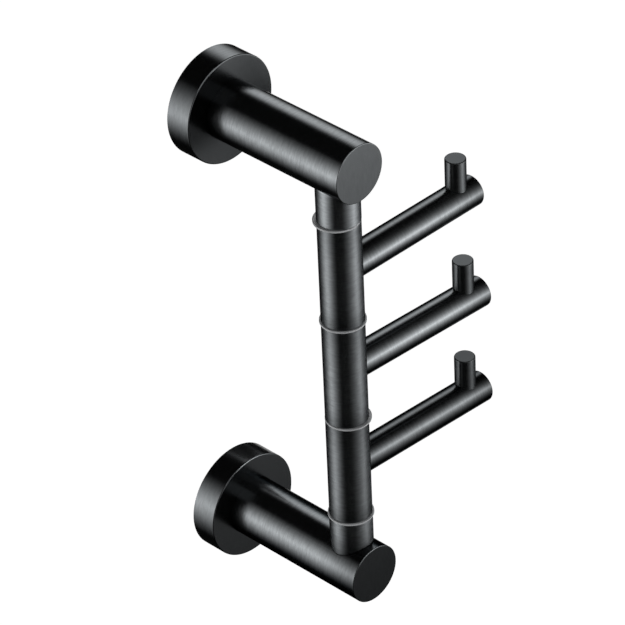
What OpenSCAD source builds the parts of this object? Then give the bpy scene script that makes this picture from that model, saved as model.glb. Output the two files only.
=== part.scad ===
// Triple swivel towel hook. Two round wall posts hold an upright column between them, and three
// sleeves, each with a hooked arm, turn on the column's spindle.
// The wall is the plane y = 0, the room is on the -Y side, +Z is up, and the origin lies on the
// wall midway between the two rosettes. The column's axis is vertical.

/* [Wall rosettes] */
// Outside diameter of a rosette
rosette_d = 50; // [47:0.5:60]
// Depth of a rosette, from the wall to its front face
rosette_h = 12.5; // [11.5:0.1:16]
// Wall of the rosette's rim
rosette_rim = 3; // [2.5:0.1:4]
// Thickness of the rosette's front
rosette_front = 3; // [2.5:0.1:3.8]
// Rounding of the rosette's front edge
rosette_edge = 0.5; // [0.2:0.05:1]

/* [Posts] */
// Diameter of a post
post_d = 27.4; // [25:0.1:30]
// Distance from the wall to a post's end face
post_reach = 88; // [80:0.5:110]
// Distance between the axes of the upper and lower posts
post_spacing = 210; // [204:1:250]
// Distance from a post's end face back to the column's axis
axis_inset = 13.2; // [12:0.1:16]
// Rounding of a post's end edge
post_edge = 0.35; // [0.1:0.05:0.8]

/* [Column] */
// Height given to each hook on the column, one sleeve and one washer
hook_pitch = 51.3; // [46:0.1:53]
// Outside diameter of a hook's sleeve
sleeve_d = 19; // [18:0.1:20]
// Outside diameter of the short collars against the posts
collar_d = 19.2; // [18:0.1:20]
// Wall of a hook's sleeve
sleeve_wall = 2; // [1.5:0.1:2.5]
// Diameter of the spindle that the sleeves turn on
spindle_d = 8; // [7:0.1:9]
// Rounding of the ends of sleeves and collars
column_edge = 0.25; // [0.1:0.05:0.5]

/* [Washers] */
// Outside diameter of the loose washers between sleeves
washer_d = 20.4; // [19.6:0.1:22]
// Thickness of a washer
washer_t = 0.8; // [0.5:0.05:1.2]
// Room between a washer's hole and the spindle, on the radius
washer_slack = 1.2; // [0.8:0.05:1.6]

/* [Hooks] */
// Diameter of an arm
arm_d = 14.6; // [13:0.1:16]
// Distance from the column's axis to an arm's end face
arm_reach = 81; // [70:0.5:95]
// Diameter of the upturned pin near an arm's end
pin_d = 9.5; // [7:0.1:11]
// Height of a pin's top above the arm's axis
pin_rise = 21; // [15:0.5:30]
// Distance from an arm's end face back to its pin's axis
pin_inset = 10; // [7:0.5:16]
// Rounding of an arm's end edge
arm_edge = 0.6; // [0.1:0.05:1.2]
// Rounding of a pin's top edge
pin_edge = 0.5; // [0.1:0.05:1]

/* [Wall fixing] */
// Distance between the two screw holes of a wall plate
wall_hole_spacing = 29; // [27:0.5:30]
// Diameter of a wall screw hole
wall_hole_d = 4.5; // [4:0.1:5]
// Thickness of a wall plate
plate_t = 6.5; // [6:0.1:7.5]

/* [Hidden] */
$fn = 96;

// Order from the top of the column to the bottom
HOOKS = ["upper", "middle", "lower"];
BRACKETS = ["upper", "lower"];

// Fits between pieces, all on the radius except the two that say otherwise
fixed_gap = 0.05;      // pressed, screwed or plugged together
running_gap = 0.06;    // a bush on the spindle
plate_gap = 0.3;       // a rosette over its wall plate
screw_gap = 0.25;      // a screw's shank through its clearance hole
axial_play = 0.05;     // along the column, above each sleeve
point_gap = 0.1;       // along a grub screw, between its point and the groove

// Cuts run this far past the faces that they open
overrun = 1;
// Steps in each rounded edge
edge_steps = 5;

// Rosette and post
rosette_back_edge = 0.15;
post_seat = 0.8;       // how deep a post sits in its rosette's front
post_screw_d = 6;
post_screw_l = 16;
post_screw_head_d = 10;
post_screw_head_h = 3.5;
post_screw_hex = 4;
post_screw_socket = 2;
post_tap_extra = 2;    // tapped depth past the screw's end

// Wall plate and its grub screw
plate_bore_d = 16;
plate_edge = 0.4;
plate_sink_d = 8.6;    // mouth of a wall screw's countersink
groove_depth = 1.8;
grub_d = 4;
grub_tip_r = 0.3;
grub_recess = 0.45;    // of the screw's outer end, below the rim
grub_hex = 2;
grub_socket = 1.8;

// Column ends
collar_plug = 8.7;     // how deep a collar is plugged into its post, on the post's own radius
spindle_anchor = 6;    // the spindle's reach past the upper post's axis
spindle_foot = 2;      // the spindle's reach past the lower post's axis
spindle_edge = 0.5;
spindle_end_room = 0.3;
retainer_d = 5;
retainer_grip = 9;     // thread engaged in the spindle
retainer_tap_extra = 1.5;
retainer_head_d = 8.5;
retainer_head_h = 5;
retainer_recess = 1.3; // of the head, below the lowest line of the post
retainer_hex = 4;
retainer_socket = 2.5;

// Hooks
bush_l = 10;
bush_recess = 0.3;
bush_edge = 0.3;
spigot_d = 8;          // of an arm, through its sleeve's wall
pin_plug = 4;          // how far a pin goes below its arm's axis

// Each arm's swing from +X, towards the wall when positive
SWINGS = [-0.3, -2.8, -2.7];
// Where each loose washer has slipped to, as shares of its slack along X and Y
washer_slip_shares = [[-0.6, 0.55], [0, 0], [0.35, -0.35], [0.05, -0.05]];

axis_depth = post_reach - axis_inset;
axis_y = -axis_depth;
rosette_bore_d = rosette_d - 2 * rosette_rim;
plate_d = rosette_bore_d - 2 * plate_gap;
sleeve_bore_d = sleeve_d - 2 * sleeve_wall;
sleeve_l = hook_pitch - washer_t - axial_play;
stack_end = 3 / 2 * hook_pitch + washer_t / 2;
collar_top = post_spacing / 2 - post_d / 2 + collar_plug;
retainer_seat = post_spacing / 2 + post_d / 2 - retainer_recess - retainer_head_h;
pin_x = arm_reach - pin_inset;
washer_bore_d = spindle_d + 2 * washer_slack;

function bracket_z(i) = post_spacing / 2 * (1 - 2 * i);
function hook_z(i) = hook_pitch * (1 - i);
function washer_z(i) = hook_pitch * (3 / 2 - i);
// A quarter of a circle about [x, y], from one angle to the next, or [x, y] alone with no radius
function quarter(x, y, r, from, to) =
    r > 0
        ? [for (i = [0:edge_steps])
            let (a = from + (to - from) * i / edge_steps)
            [x + r * cos(a), y + r * sin(a)]]
        : [[x, y]];

// A turned bar along +Z from z0 to z1, with its two end edges rounded
module bar(d, z0, z1, edge0 = 0, edge1 = 0) {
    r = d / 2;
    rotate_extrude()
        polygon(concat(
            [[0, z0]],
            quarter(r - edge0, z0 + edge0, edge0, -90, 0),
            quarter(r - edge1, z1 - edge1, edge1, 0, 90),
            [[0, z1]]));
}

// A straight round cut along +Z from z0 to z1
module bore(d, z0, z1) {
    translate([0, 0, z0]) cylinder(d = d, h = z1 - z0);
}

// A six-sided socket along +Z, across its flats
module hex_socket(flats, z0, z1) {
    translate([0, 0, z0]) cylinder(d = flats / cos(30), h = z1 - z0, $fn = 6);
}

// Puts a piece drawn with +Z away from the wall and +Y up on a bracket's axis
module on_bracket(i) {
    translate([0, 0, bracket_z(i)]) rotate([90, 0, 0]) children();
}

// Puts a piece drawn about the Z axis on the column's axis
module on_column() {
    translate([0, axis_y, 0]) children();
}

// Puts a piece drawn with its arm along +X on the column, at a hook's height and swing
module on_hook(i) {
    on_column() translate([0, 0, hook_z(i)]) rotate([0, 0, SWINGS[i]]) children();
}

// The disc that is screwed to the wall, with a groove round it for the rosette's grub screw
module wall_plate(i) {
    r = plate_d / 2;
    middle = plate_t / 2;
    color("darkgray") on_bracket(i) difference() {
        rotate_extrude()
            polygon([
                [plate_bore_d / 2, 0], [r - plate_edge, 0], [r, plate_edge],
                [r, middle - groove_depth], [r - groove_depth, middle], [r, middle + groove_depth],
                [r, plate_t - plate_edge], [r - plate_edge, plate_t], [plate_bore_d / 2, plate_t]]);
        for (side = [-1, 1])
            translate([side * wall_hole_spacing / 2, 0, 0]) {
                bore(wall_hole_d, -overrun, plate_t + overrun);
                translate([0, 0, plate_t - (plate_sink_d - wall_hole_d) / 2])
                    cylinder(d1 = wall_hole_d, d2 = plate_sink_d, h = (plate_sink_d - wall_hole_d) / 2);
            }
    }
}

// The cup that hides the wall plate and carries the post
module rosette(i) {
    color([0.07, 0.074, 0.076]) on_bracket(i) difference() {
        bar(rosette_d, 0, rosette_h, rosette_back_edge, rosette_edge);
        bore(rosette_bore_d, -overrun, rosette_h - rosette_front);
        bore(post_d + 2 * fixed_gap, rosette_h - post_seat, rosette_h + overrun);
        bore(post_screw_d + 2 * screw_gap, 0, rosette_h);
        translate([0, 0, plate_t / 2]) rotate([90, 0, 0])
            bore(grub_d + 2 * fixed_gap, rosette_bore_d / 2 - overrun, rosette_d / 2 + overrun);
    }
}

// The grub screw under the rosette, its point in the wall plate's groove
module rosette_grub_screw(i) {
    apex = plate_d / 2 - groove_depth + point_gap;
    outer = rosette_d / 2 - grub_recess;
    color("dimgray") on_bracket(i) translate([0, 0, plate_t / 2]) rotate([90, 0, 0]) difference() {
        rotate_extrude()
            polygon([
                [0, apex + grub_tip_r], [grub_tip_r, apex + grub_tip_r],
                [grub_d / 2, apex + grub_d / 2], [grub_d / 2, outer], [0, outer]]);
        hex_socket(grub_hex, outer - grub_socket, outer + overrun);
    }
}

// A post: bored for its screw behind, for the collar and the spindle at the column, and, on the
// lower post, for the screw that holds the spindle
module post(i) {
    base = rosette_h - post_seat;
    toward = 1 - 2 * i;
    screw_end = rosette_h - rosette_front + post_screw_l;
    head_seat = retainer_seat - post_spacing / 2;
    color([0.07, 0.074, 0.076]) difference() {
        on_bracket(i) bar(post_d, base, post_reach, 0, post_edge);
        on_bracket(i) bore(post_screw_d + 2 * fixed_gap, base - overrun, screw_end + post_tap_extra);
        on_column() translate([0, 0, bracket_z(i)]) mirror([0, 0, i]) {
            bore(collar_d + 2 * fixed_gap, -post_d / 2 - overrun, collar_plug - post_d / 2);
            if (toward > 0)
                bore(spindle_d + 2 * fixed_gap, -post_d / 2, spindle_anchor + spindle_end_room);
            else {
                bore(spindle_d + 2 * fixed_gap, -post_d / 2, spindle_foot);
                bore(retainer_d + 2 * screw_gap, -post_d / 2, post_d / 2 + overrun);
                bore(retainer_head_d + 2 * screw_gap, head_seat, post_d / 2 + overrun);
            }
        }
    }
}

// The screw that pulls a post against its rosette, from inside the rosette
module post_screw(i) {
    seat = rosette_h - rosette_front;
    head = seat - post_screw_head_h;
    color("silver") on_bracket(i) difference() {
        union() {
            bore(post_screw_head_d, head, seat);
            bore(post_screw_d, head, seat + post_screw_l);
        }
        hex_socket(post_screw_hex, head - overrun, head + post_screw_socket);
    }
}

// A short fixed collar, plugged into its post
module collar(i) {
    color([0.07, 0.074, 0.076]) on_column() mirror([0, 0, i]) difference() {
        bar(collar_d, stack_end, collar_top, column_edge, 0);
        bore(spindle_d + 2 * fixed_gap, stack_end - overrun, collar_top + overrun);
    }
}

// The rod through the whole column, screwed into the upper post and tapped at its foot
module spindle() {
    foot = -post_spacing / 2 - spindle_foot;
    color("silver") on_column() difference() {
        bar(spindle_d, foot, post_spacing / 2 + spindle_anchor, spindle_edge, spindle_edge);
        bore(retainer_d + 2 * fixed_gap, foot - overrun, foot + retainer_grip + retainer_tap_extra);
    }
}

// The screw up through the lower post into the spindle's foot
module spindle_retaining_screw() {
    foot = post_spacing / 2 + spindle_foot;
    color("dimgray") on_column() mirror([0, 0, 1]) difference() {
        union() {
            bore(retainer_head_d, retainer_seat, retainer_seat + retainer_head_h);
            bore(retainer_d, foot - retainer_grip, retainer_seat + retainer_head_h);
        }
        hex_socket(retainer_hex, retainer_seat + retainer_head_h - retainer_socket,
            retainer_seat + retainer_head_h + overrun);
    }
}

// A thin loose washer, slipped to one side within its slack
module washer(i) {
    slip = washer_slip_shares[i] * washer_slack;
    color([0.5, 0.5, 0.5]) on_column() translate([slip[0], slip[1], washer_z(i)]) difference() {
        bar(washer_d, -washer_t / 2, washer_t / 2);
        bore(washer_bore_d, -washer_t, washer_t);
    }
}

// A hook's tube, with a hole in its side for the arm's spigot
module sleeve(i) {
    below = washer_z(i + 1) + washer_t / 2 - hook_z(i);
    color([0.07, 0.074, 0.076]) on_hook(i) difference() {
        bar(sleeve_d, below, below + sleeve_l, column_edge, column_edge);
        bore(sleeve_bore_d, below - overrun, below + sleeve_l + overrun);
        rotate([0, 90, 0]) bore(spigot_d + 2 * fixed_gap, 0, sleeve_d);
    }
}

// A plain bearing pressed into one end of a sleeve
module bush(i, top) {
    below = washer_z(i + 1) + washer_t / 2 - hook_z(i);
    start = top ? below + sleeve_l - bush_recess - bush_l : below + bush_recess;
    color("whitesmoke") on_hook(i) difference() {
        bar(sleeve_bore_d - 2 * fixed_gap, start, start + bush_l, bush_edge, bush_edge);
        bore(spindle_d + 2 * running_gap, start - overrun, start + bush_l + overrun);
    }
}

// A hook's arm, shaped to the sleeve at its root, with a spigot through the sleeve's wall
module arm(i) {
    color([0.07, 0.074, 0.076]) on_hook(i) difference() {
        union() {
            difference() {
                rotate([0, 90, 0]) bar(arm_d, 0, arm_reach, 0, arm_edge);
                cylinder(d = sleeve_d + 2 * fixed_gap, h = 2 * arm_d, center = true);
            }
            rotate([0, 90, 0]) bore(spigot_d, 0, sleeve_d);
        }
        cylinder(d = sleeve_bore_d, h = 2 * arm_d, center = true);
        translate([pin_x, 0, 0]) bore(pin_d + 2 * fixed_gap, -pin_plug, arm_d);
    }
}

// The upturned pin, plugged into its arm
module pin(i) {
    color([0.07, 0.074, 0.076]) on_hook(i) translate([pin_x, 0, 0])
        bar(pin_d, -pin_plug, pin_rise, 0, pin_edge);
}

wall_plate(0);  // wall_plate_upper
wall_plate(1);  // wall_plate_lower
rosette(0);  // rosette_upper
rosette(1);  // rosette_lower
rosette_grub_screw(0);  // rosette_grub_screw_upper
rosette_grub_screw(1);  // rosette_grub_screw_lower
post(0);  // post_upper
post(1);  // post_lower
post_screw(0);  // post_screw_upper
post_screw(1);  // post_screw_lower
collar(0);  // collar_upper
collar(1);  // collar_lower
spindle();
spindle_retaining_screw();
washer(0);  // washer_top
washer(1);  // washer_upper_middle
washer(2);  // washer_lower_middle
washer(3);  // washer_bottom
sleeve(0);  // sleeve_upper
sleeve(1);  // sleeve_middle
sleeve(2);  // sleeve_lower
arm(0);  // arm_upper
arm(1);  // arm_middle
arm(2);  // arm_lower
pin(0);  // pin_upper
pin(1);  // pin_middle
pin(2);  // pin_lower
bush(0, true);  // bush_upper_top
bush(0, false);  // bush_upper_bottom
bush(1, true);  // bush_middle_top
bush(1, false);  // bush_middle_bottom
bush(2, true);  // bush_lower_top
bush(2, false);  // bush_lower_bottom
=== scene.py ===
import math
from collections import namedtuple

import bmesh
import bpy
from mathutils import Matrix, Vector


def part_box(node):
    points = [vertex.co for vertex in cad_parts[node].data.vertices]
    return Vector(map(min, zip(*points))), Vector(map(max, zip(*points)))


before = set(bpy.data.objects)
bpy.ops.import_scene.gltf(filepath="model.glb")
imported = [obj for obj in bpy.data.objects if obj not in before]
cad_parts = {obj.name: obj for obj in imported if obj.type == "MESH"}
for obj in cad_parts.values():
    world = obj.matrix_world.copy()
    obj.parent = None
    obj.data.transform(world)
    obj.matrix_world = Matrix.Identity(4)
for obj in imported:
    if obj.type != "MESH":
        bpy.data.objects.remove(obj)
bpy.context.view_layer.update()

MM = 0.001

HOOKS = ("upper", "middle", "lower")
BRACKETS = ("upper", "lower")
WASHERS = ("top", "upper_middle", "lower_middle", "bottom")
SLEEVE_ENDS = ("top", "bottom")
X = Vector((1, 0, 0))
Y = Vector((0, 1, 0))
Z = Vector((0, 0, 1))


def middle(node):
    """The centre of a node's box"""
    low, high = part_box(node)
    return (Vector(low) + Vector(high)) / 2


def span(node, axis):
    """Where a node's box begins and ends along an axis"""
    (x0, y0, z0), (x1, y1, z1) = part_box(node)
    corners = [Vector((x, y, z)) for x in (x0, x1) for y in (y0, y1) for z in (z0, z1)]
    reached = [corner.dot(axis) for corner in corners]
    return min(reached), max(reached)


def add_object(name, data):
    """A new object in the scene"""
    made = bpy.data.objects.new(name, data)
    bpy.context.collection.objects.link(made)
    return made


def rectangle(name, width, height):
    """A flat sheet round its own origin"""
    mesh = bpy.data.meshes.new(name)
    w, h = width / 2, height / 2
    mesh.from_pydata([(-w, -h, 0), (w, -h, 0), (w, h, 0), (-w, h, 0)], [], [(0, 1, 2, 3)])
    return mesh


# Camera, as the photograph was taken
CAMERA_AZIMUTH = math.radians(-44.232)
CAMERA_ELEVATION = math.radians(35.066)
CAMERA_ROLL = math.radians(-2.636)
CAMERA_DISTANCE = 1.958573
CAMERA_TARGET = Vector((0.00636, -0.05, 0.014243))
CAMERA_LENS = 262.86
CAMERA_SENSOR = 36
CAMERA_NEAREST = 0.01


def make_camera():
    """A long lens from the upper left, held with a slight roll"""
    a, e = CAMERA_AZIMUTH, CAMERA_ELEVATION
    back = Vector((math.sin(a) * math.cos(e), -math.cos(a) * math.cos(e), math.sin(e)))
    right = Vector((math.cos(a), math.sin(a), 0))
    up = back.cross(right)
    side = right * math.cos(CAMERA_ROLL) + up * math.sin(CAMERA_ROLL)
    top = up * math.cos(CAMERA_ROLL) - right * math.sin(CAMERA_ROLL)
    data = bpy.data.cameras.new("camera")
    data.lens = CAMERA_LENS
    data.sensor_width = CAMERA_SENSOR
    data.clip_start = CAMERA_NEAREST
    placed = Matrix((side, top, back)).transposed().to_4x4()
    placed.translation = CAMERA_TARGET + back * CAMERA_DISTANCE
    camera = add_object("camera", data)
    camera.matrix_world = placed
    bpy.context.scene.camera = camera


class Nodes:
    """A short way to add nodes to a lamp, the world or a material"""

    def __init__(self, owner):
        owner.use_nodes = True
        self.tree = owner.node_tree

    def node(self, kind, **settings):
        made = self.tree.nodes.new(kind)
        for key, value in settings.items():
            setattr(made, key, value)
        return made

    def put(self, socket, value):
        """Links an output to a socket, or sets the socket to a constant"""
        if isinstance(value, bpy.types.NodeSocket):
            self.tree.links.new(value, socket)
        else:
            socket.default_value = value

    def put_all(self, made, values):
        """Fills a node's sockets in their order"""
        for socket, value in zip(made.inputs, values):
            self.put(socket, value)
        return made

    def math(self, operation, *values, clamp=False):
        made = self.node("ShaderNodeMath", operation=operation, use_clamp=clamp)
        return self.put_all(made, values).outputs[0]

    def spread(self, value, low, high, start=0.0, end=1.0, shape="LINEAR"):
        """Runs from low to high while the value runs from start to end"""
        made = self.node("ShaderNodeMapRange", interpolation_type=shape)
        for name, given in (("Value", value), ("From Min", start), ("From Max", end),
                            ("To Min", low), ("To Max", high)):
            self.put(made.inputs[name], given)
        return made.outputs["Result"]

    def background_rays(self):
        """1 for the rays that see the background: the camera's, and those in metal and glass"""
        rays = self.node("ShaderNodeLightPath").outputs
        seen = self.math("ADD", rays["Is Camera Ray"], rays["Is Glossy Ray"])
        return self.math("ADD", seen, rays["Is Transmission Ray"], clamp=True)


# The Mix node's sockets for each kind of value: its two inputs and its output
MIX_SOCKETS = {"VECTOR": (4, 5, 1), "RGBA": (6, 7, 2)}
# Height of the relief that every bump stands for
RELIEF = 0.02 * MM


class Shader(Nodes):
    """The nodes of a new material"""

    def __init__(self, name):
        self.material = bpy.data.materials.new(name)
        super().__init__(self.material)
        self.tree.nodes.clear()
        self.output = self.node("ShaderNodeOutputMaterial")

    def point(self):
        """The place on the object, in the shared frame"""
        return self.node("ShaderNodeTexCoord").outputs["Object"]

    def vector(self, operation, *values):
        made = self.put_all(self.node("ShaderNodeVectorMath", operation=operation), values)
        return made.outputs["Value" if operation in ("DOT_PRODUCT", "LENGTH") else "Vector"]

    def scaled(self, vector, factor):
        made = self.node("ShaderNodeVectorMath", operation="SCALE")
        self.put(made.inputs[0], vector)
        self.put(made.inputs["Scale"], factor)
        return made.outputs["Vector"]

    def mix(self, kind, factor, first, second):
        made = self.node("ShaderNodeMix", data_type=kind)
        into_first, into_second, out = MIX_SOCKETS[kind]
        self.put(made.inputs["Factor"], factor)
        self.put(made.inputs[into_first], first)
        self.put(made.inputs[into_second], second)
        return made.outputs[out]

    def tint(self, factor, tones):
        dark, light = tones
        return self.mix("RGBA", factor, (*dark, 1), (*light, 1))

    def noise(self, vector, scale, detail=2.0, roughness=0.5):
        made = self.node("ShaderNodeTexNoise")
        for name, given in (("Vector", vector), ("Scale", scale), ("Detail", detail),
                            ("Roughness", roughness)):
            self.put(made.inputs[name], given)
        return made.outputs["Fac"]

    def bump(self, height, strength):
        made = self.node("ShaderNodeBump")
        for name, given in (("Strength", strength), ("Distance", RELIEF), ("Height", height)):
            self.put(made.inputs[name], given)
        return made.outputs["Normal"]

    def surface(self, **sockets):
        """The finishing shader, with socket names written with underscores"""
        made = self.node("ShaderNodeBsdfPrincipled")
        for name, value in sockets.items():
            self.put(made.inputs[name.replace("_", " ")], value)
        self.put(self.output.inputs["Surface"], made.outputs[0])
        return self.material


# How squarely a surface faces along the axis where it turns from side to flat end
FLAT = (0.8, 0.95)


class Brushing:
    """Noise drawn out round the axis on a turned side, and in straight lines on a flat end"""

    def __init__(self, s, axis, flat_groove, fine, long):
        place = s.node("ShaderNodeTexCoord")
        self.point, normal = place.outputs["Object"], place.outputs["Normal"]
        self.facing = s.math("ABSOLUTE", s.vector("DOT_PRODUCT", normal, axis))
        self.flat = s.spread(self.facing, 0.0, 1.0, *FLAT)
        self.along = s.vector("DOT_PRODUCT", self.point, axis)
        stretch = s.scaled(axis, s.math("MULTIPLY", self.along, fine - long))
        side = s.vector("ADD", s.scaled(self.point, long), stretch)
        down = s.vector("DOT_PRODUCT", self.point, flat_groove)
        squeeze = s.scaled(flat_groove, s.math("MULTIPLY", down, long - fine))
        end = s.vector("ADD", s.scaled(self.point, fine), squeeze)
        self.grain = s.noise(s.mix("VECTOR", self.flat, side, end), 1.0, roughness=0.6)
        across = s.mix("VECTOR", self.flat, axis, axis.cross(flat_groove))
        turned = s.node("ShaderNodeVectorTransform", vector_type="VECTOR",
                        convert_from="OBJECT", convert_to="WORLD")
        self.across = s.put_all(turned, (across,)).outputs[0]


# Between which values the noise runs nearly everywhere: that of the brushing, and that of specks
# and clouds
GRAIN_RUNS = (0.3, 0.7)
SPECKS_RUN = (0.35, 0.65)

# The black: its colour, the grain of its brushing in lines per metre across it and along it, the
# clouds in it per metre and their share in the marks, how strong the marks are on flat faces, how
# far the roughness wanders and how strong the relief is
BLACK = Vector((0.0865, 0.0913, 0.0943))
GRAIN_FINE = 1200.0
GRAIN_LONG = 260.0
BLACK_CLOUDS = 70.0
CLOUD_SHARE = 0.15
FLAT_MARKS = 0.06
GLOSS_WANDERS = 0.02
BLACK_BUMP = 0.03
# How squarely a rounded edge faces along the axis, where the painted rim highlight lies: where it
# starts, and where it ends
EDGE_STARTS = (0.1, 0.4)
EDGE_ENDS = (0.9, 0.99)

# Each kind's gloss, and that of the lower nodes that differ from their kind: these are darker and
# lighter copies of their kind that stand in for how the light falls on them, painted shade and
# painted light. Columns: roughness, how far it is drawn out along the piece, tone, strength of the
# brush marks, how much lighter the rounded edges are (a painted highlight on the rims, painted
# shade where below 0), shine at a glancing angle, and tone of the flat faces against the side
Gloss = namedtuple("Gloss", "roughness drawn_out tone marks edges glancing flats")
GLOSS = {
    "rosette": Gloss(0.21, 0.50, 0.82, 0.14, 0.7, 0.50, 0.8),
    "rosette_lower": Gloss(0.21, 0.50, 0.82, 0.14, -0.1, 0.50, 2.0),
    "post": Gloss(0.21, 0.50, 0.95, 0.19, 0.8, 0.50, 0.8),
    "post_lower": Gloss(0.21, 0.50, 0.95, 0.19, 0.8, 0.10, 1.0),
    "sleeve": Gloss(0.31, 0.90, 1.60, 0.17, 0.3, 0.15, 0.8),
    "collar": Gloss(0.33, 0.90, 1.80, 0.17, 0.3, 0.15, 0.8),
    "arm": Gloss(0.24, 0.70, 1.00, 0.17, 0.0, 0.30, 0.8),
    "arm_lower": Gloss(0.24, 0.70, 0.68, 0.17, 0.0, 0.30, 0.8),
    "pin": Gloss(0.30, 0.92, 0.85, 0.07, -0.5, 0.30, 0.8),
    "pin_lower": Gloss(0.30, 0.92, 0.80, 0.07, -0.5, 0.30, 0.6),
}
# Kinds and nodes whose black is drawn darker towards their ends, painted shade: how far in and how
# much, first at the low end along the axis, then at the high end
EVEN = (1 * MM, 1.0)
ENDS = {
    "sleeve": ((11 * MM, 0.58), (20 * MM, 0.78)),
    "arm": ((15 * MM, 0.85), (22 * MM, 0.70)),
    "collar_lower": ((20 * MM, 0.20), EVEN),
    "post_lower": ((28 * MM, 0.55), EVEN),
}
# The line where a collar meets its post, painted shade on the lower collar and a painted highlight
# on the upper: how far it reaches, and its tone on each collar
JOINT_LINE = 0.6 * MM
JOINT_TONE = {"collar_upper": 1.5, "collar_lower": 0.0}


def painted_joint_line(s, point, collar):
    """The tone of the line painted where a collar meets the round side of its post, and 1 further
    out: below 1 painted shade, above 1 a painted highlight
    """
    post = collar.replace("collar", "post")
    left, right = span(post, X)
    radius = (right - left) / 2
    off = s.vector("SUBTRACT", point, middle(post))
    out = s.vector("LENGTH", s.vector("MULTIPLY", off, X + Z))
    return s.spread(out, JOINT_TONE[collar], 1.0, radius, radius + JOINT_LINE)


def painted_end_shade(s, b, node, kind, axis):
    """The tone along a node's side, drawn darker towards the ends that ENDS names: painted shade"""
    level = 1.0
    ends = ENDS.get(node, ENDS.get(kind, (EVEN, EVEN)))
    for edge, (reach, tone), inward in zip(span(node, axis), ends, (1, -1)):
        if tone < 1:
            step = s.spread(b.along, tone, 1.0, edge, edge + inward * reach, shape="SMOOTHSTEP")
            level = s.math("MULTIPLY", level, s.math("MAXIMUM", step, b.flat))
    return level


def black_steel(node, kind, axis, flat_groove):
    """Satin black over fine brushing that runs round the axis"""
    gloss = GLOSS.get(node, GLOSS[kind])
    s = Shader("black_steel_" + node)
    b = Brushing(s, axis, flat_groove, GRAIN_FINE, GRAIN_LONG)
    fine_marks = s.math("MULTIPLY", b.grain, 1 - CLOUD_SHARE)
    cloud_marks = s.math("MULTIPLY", s.noise(b.point, BLACK_CLOUDS), CLOUD_SHARE)
    mark = s.math("ADD", fine_marks, cloud_marks)
    contrast = s.spread(b.flat, gloss.marks, FLAT_MARKS)
    shade = s.math("MULTIPLY", s.spread(mark, -1.0, 1.0, *GRAIN_RUNS), contrast)
    # Painted highlight on the rounded rims, painted shade where a node's edge value is below 0
    painted_rim = s.math("MULTIPLY", s.spread(b.facing, 0.0, 1.0, *EDGE_STARTS),
                 s.spread(b.facing, 1.0, 0.0, *EDGE_ENDS))
    plain = s.math("ADD", shade, s.spread(b.flat, 1.0, gloss.flats))
    level = s.math("ADD", plain, s.math("MULTIPLY", painted_rim, gloss.edges))
    # Painted shade: the black is drawn darker towards the ends listed in ENDS
    level = s.math("MULTIPLY", level, painted_end_shade(s, b, node, kind, axis))
    # Painted line along the collar's joint with its post: painted shade on the lower collar, a
    # painted highlight on the upper
    if kind == "collar":
        level = s.math("MULTIPLY", level, painted_joint_line(s, b.point, node))
    smoothest, roughest = gloss.roughness - GLOSS_WANDERS, gloss.roughness + GLOSS_WANDERS
    return s.surface(
        Base_Color=s.scaled(BLACK * gloss.tone, level),
        Metallic=1.0,
        Roughness=s.spread(b.grain, smoothest, roughest, *GRAIN_RUNS),
        Anisotropic=gloss.drawn_out,
        Tangent=b.across,
        Specular_Tint=(gloss.glancing, gloss.glancing, gloss.glancing, 1),
        Normal=s.bump(b.grain, BLACK_BUMP))


# Bare turned steel: its darkest and lightest tone, its roughness, its tool marks per metre across
# them and along them, and how strong their relief is
STEEL_TONES = ((0.55, 0.55, 0.54), (0.66, 0.66, 0.65))
STEEL_ROUGHNESS = (0.25, 0.36)
TURNING_FINE = 2200.0
TURNING_LONG = 60.0
STEEL_BUMP = 0.15


def bare_steel(name, axis, flat_groove):
    """Turned stainless steel, with its tool marks round the axis"""
    s = Shader(name)
    b = Brushing(s, axis, flat_groove, TURNING_FINE, TURNING_LONG)
    return s.surface(
        Base_Color=s.tint(s.spread(b.grain, 0.0, 1.0, *GRAIN_RUNS), STEEL_TONES),
        Metallic=1.0,
        Roughness=s.spread(b.grain, *STEEL_ROUGHNESS, *GRAIN_RUNS),
        Anisotropic=0.5,
        Tangent=b.across,
        Normal=s.bump(b.grain, STEEL_BUMP))


# Black oxide: its tones, its roughness, its specks per metre and how strong their relief is
OXIDE_TONES = ((0.035, 0.035, 0.037), (0.06, 0.06, 0.062))
OXIDE_ROUGHNESS = (0.38, 0.52)
OXIDE_SPECKS = 900.0
OXIDE_BUMP = 0.2


def black_screw():
    """Black oxide, faintly mottled"""
    s = Shader("black_screws")
    speck = s.noise(s.point(), OXIDE_SPECKS, detail=3.0)
    return s.surface(
        Base_Color=s.tint(s.spread(speck, 0.0, 1.0, *SPECKS_RUN), OXIDE_TONES),
        Metallic=0.9,
        Roughness=s.spread(speck, *OXIDE_ROUGHNESS, *SPECKS_RUN),
        Normal=s.bump(speck, OXIDE_BUMP))


# Moulded plastic: tones and roughness of the washers and of the bushes, how far the roughness
# wanders, the clouds and specks per metre, and how strong the specks' relief is
WASHER_TONES = ((0.200, 0.205, 0.210), (0.250, 0.256, 0.262))
WASHER_ROUGHNESS = 0.5
BUSH_TONES = ((0.74, 0.74, 0.72), (0.8, 0.8, 0.78))
BUSH_ROUGHNESS = 0.45
PLASTIC_WANDERS = 0.05
PLASTIC_CLOUDS = 150.0
PLASTIC_SPECKS = 2500.0
PLASTIC_BUMP = 0.15


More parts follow.
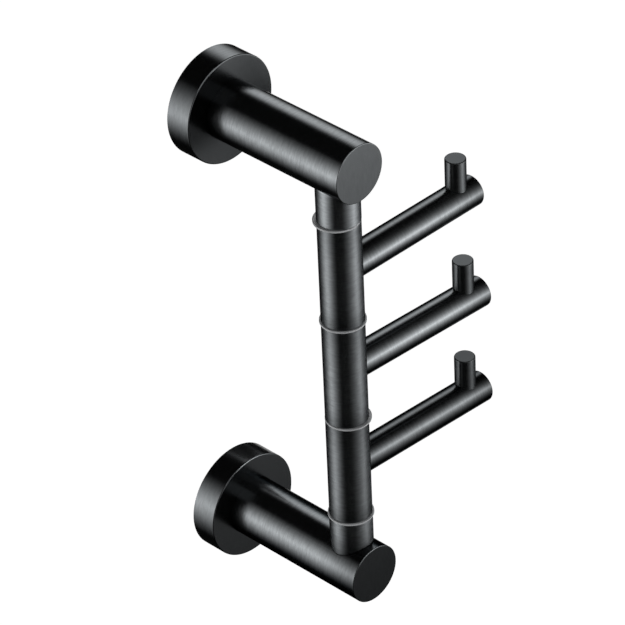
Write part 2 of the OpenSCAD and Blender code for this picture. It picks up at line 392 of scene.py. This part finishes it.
def moulded(name, tones, roughness):
    """Moulded plastic with a faint tone and a fine surface texture"""
    s = Shader(name)
    point = s.point()
    cloud = s.noise(point, PLASTIC_CLOUDS)
    speck = s.noise(point, PLASTIC_SPECKS)
    smoothest, roughest = roughness - PLASTIC_WANDERS, roughness + PLASTIC_WANDERS
    return s.surface(
        Base_Color=s.tint(s.spread(cloud, 0.0, 1.0, *SPECKS_RUN), tones),
        Roughness=s.spread(speck, smoothest, roughest, *SPECKS_RUN),
        Normal=s.bump(speck, PLASTIC_BUMP))


def dress(node, material):
    """Puts one material in every slot of a node"""
    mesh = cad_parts[node].data
    if not mesh.materials:
        mesh.materials.append(material)
    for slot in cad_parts[node].material_slots:
        slot.material = material


def dress_black(place, kinds):
    """Dresses the black nodes of a bracket or a hook: kind, axis and lines on the flat ends"""
    for kind, axis, flat_groove in kinds:
        node = kind + "_" + place
        dress(node, black_steel(node, kind, axis, flat_groove))


def dress_all():
    screws = black_screw()
    plate_steel = bare_steel("bare_steel_bracket", Y, Z)
    spindle_steel = bare_steel("bare_steel_spindle", Z, X)
    washers = moulded("washers", WASHER_TONES, WASHER_ROUGHNESS)
    bushes = moulded("bushes", BUSH_TONES, BUSH_ROUGHNESS)
    for bracket in BRACKETS:
        dress("wall_plate_" + bracket, plate_steel)
        dress("post_screw_" + bracket, plate_steel)
        dress("rosette_grub_screw_" + bracket, screws)
        dress_black(bracket, (("rosette", Y, Z), ("post", Y, Z), ("collar", Z, X)))
    dress("spindle", spindle_steel)
    dress("spindle_retaining_screw", screws)
    for washer in WASHERS:
        dress("washer_" + washer, washers)
    for hook in HOOKS:
        reach = middle("pin_" + hook) - middle("sleeve_" + hook)
        reach.z = 0
        dress_black(hook, (("sleeve", Z, X), ("arm", reach.normalized(), Z), ("pin", Z, X)))
        for end in SLEEVE_ENDS:
            dress("bush_" + hook + "_" + end, bushes)


# Studio lamps: azimuth and elevation of the centre, distance, width and height of the scrim,
# radiance at its hot centre, how far from there the light fades across and up and down to 37%,
# and how sharp the fade is
Lamp = namedtuple("Lamp", "azimuth elevation distance width height radiance across up sharpness")
LAMPS = {
    "right": Lamp(-57, 0, 0.50, 1.6, 1.4, 7.5, 0.26, 0.135, 1.0),
    "left": Lamp(151, -6, 1.20, 3.0, 2.6, 4.6, 0.62, 0.58, 1.4),
    "back": Lamp(40, 28, 1.00, 0.8, 1.0, 3.5, 0.18, 0.33, 3.0),
}
STUDIO_CENTRE = Vector((0, -0.05, 0))
WATTS_PER_RADIANCE = 4.0
# A lamp's own coordinates run from 0 to 1, and this is its centre
LAMP_CENTRE = 0.5


def away(azimuth, elevation):
    a, e = math.radians(azimuth), math.radians(elevation)
    return Vector((math.cos(a) * math.cos(e), math.sin(a) * math.cos(e), math.sin(e)))


def aimed(start, azimuth, elevation, distance):
    """A place some way off from a start, turned so that its own -Z looks back there"""
    direction = away(azimuth, elevation)
    placed = direction.to_track_quat("Z", "Y").to_matrix().to_4x4()
    placed.translation = start + direction * distance
    return placed


def hot_centre(data, lamp):
    """Light through a scrim: brightest at the centre, fading outwards"""
    nodes = Nodes(data)
    glow = next(node for node in nodes.tree.nodes if node.type == "EMISSION")
    geometry = nodes.node("ShaderNodeNewGeometry")
    place = nodes.put_all(nodes.node("ShaderNodeSeparateXYZ"), (geometry.outputs["Parametric"],))
    falls = []
    for where, size, reach in zip(place.outputs, (lamp.width, lamp.height), (lamp.across, lamp.up)):
        off = nodes.math("ABSOLUTE", nodes.math("SUBTRACT", where, LAMP_CENTRE))
        far = nodes.math("MULTIPLY", off, size / reach)
        falls.append(nodes.math("POWER", far, lamp.sharpness))
    fall = nodes.math("MULTIPLY", nodes.math("ADD", *falls), -1.0)
    nodes.put(glow.inputs["Strength"], nodes.math("EXPONENT", fall))


def make_lamps():
    for name, lamp in LAMPS.items():
        data = bpy.data.lights.new(name, "AREA")
        data.shape = "RECTANGLE"
        data.size, data.size_y = lamp.width, lamp.height
        data.energy = lamp.radiance * lamp.width * lamp.height * WATTS_PER_RADIANCE
        hot_centre(data, lamp)
        made = add_object(name, data)
        made.matrix_world = aimed(STUDIO_CENTRE, lamp.azimuth, lamp.elevation, lamp.distance)
        made.visible_camera = False


FLOOR_DEPTH = 2.2
FLOOR_SIZE = 40.0
FLOOR_TONES = ((0.86, 0.86, 0.86), (0.88, 0.88, 0.88))
FLOOR_CLOUDS = 3.0
FLOOR_GLOW = 0.65


def make_floor():
    """A pale floor under the object, white where no shadow falls"""
    s = Shader("floor")
    diffuse = s.node("ShaderNodeBsdfDiffuse")
    s.put(diffuse.inputs["Color"], s.tint(s.noise(s.point(), FLOOR_CLOUDS), FLOOR_TONES))
    glow = s.node("ShaderNodeEmission")
    s.put(glow.inputs["Strength"], s.math("MULTIPLY", s.background_rays(), FLOOR_GLOW))
    both = s.put_all(s.node("ShaderNodeAddShader"), (diffuse.outputs[0], glow.outputs[0]))
    s.put(s.output.inputs["Surface"], both.outputs[0])
    mesh = rectangle("floor", FLOOR_SIZE, FLOOR_SIZE)
    mesh.materials.append(s.material)
    floor = add_object("floor", mesh)
    floor.location.z = -FLOOR_DEPTH


WORLD_COLOUR = (1, 1, 1, 1)
WORLD_FILL = 0.4


def make_world():
    """A white room, dimmer in the light that it gives than where it is seen"""
    world = bpy.data.worlds.new("world")
    bpy.context.scene.world = world
    nodes = Nodes(world)
    nodes.tree.nodes.clear()
    shade = nodes.node("ShaderNodeBackground")
    nodes.put(shade.inputs["Color"], WORLD_COLOUR)
    nodes.put(shade.inputs["Strength"], nodes.spread(nodes.background_rays(), WORLD_FILL, 1.0))
    output = nodes.node("ShaderNodeOutputWorld")
    nodes.put(output.inputs["Surface"], shade.outputs[0])


CLOTH_BLACK = (0.03, 0.03, 0.03, 1)
FLAG_REACH = 2.1
FLAG_FINENESS = 5
# Openings in the flags: azimuth and elevation of the middle, and how far each reaches from there
OPENINGS = ((-118, 58, 28), (20, -35, 25))
# A small card that keeps the back lamp off the lower rosette: the place that it shades, its
# distance from there, its width and its height
CARD_SHADES = Vector((0.002, -0.003, -0.080))
CARD_DISTANCE = 0.06
CARD_WIDTH = 0.032
CARD_HEIGHT = 0.044


def black_cloth():
    s = Shader("flag")
    cloth = s.node("ShaderNodeBsdfDiffuse")
    s.put(cloth.inputs["Color"], CLOTH_BLACK)
    s.put(s.output.inputs["Surface"], cloth.outputs[0])
    return s.material


def hang(name, mesh, cloth):
    """Puts up a black cloth that only reflections see"""
    mesh.materials.append(cloth)
    flag = add_object(name, mesh)
    flag.visible_camera = flag.visible_diffuse = flag.visible_shadow = False
    return flag


def make_flags():
    """Black cloth round the lamps, open where the white room may show in the metal"""
    cloth = black_cloth()
    shape = bmesh.new()
    bmesh.ops.create_icosphere(shape, subdivisions=FLAG_FINENESS, radius=FLAG_REACH)
    for azimuth, elevation, reach in OPENINGS:
        centre, widest = away(azimuth, elevation), math.radians(reach)
        gone = [f for f in shape.faces if f.calc_center_median().angle(centre) < widest]
        bmesh.ops.delete(shape, geom=gone, context="FACES")
    mesh = bpy.data.meshes.new("flags")
    shape.to_mesh(mesh)
    shape.free()
    hang("flags", mesh, cloth).location = STUDIO_CENTRE
    card = hang("card", rectangle("card", CARD_WIDTH, CARD_HEIGHT), cloth)
    back = LAMPS["back"]
    card.matrix_world = aimed(CARD_SHADES, back.azimuth, back.elevation, CARD_DISTANCE)


make_camera()
dress_all()
make_lamps()
make_floor()
make_world()
make_flags()
bpy.context.scene.view_settings.view_transform = "Standard"
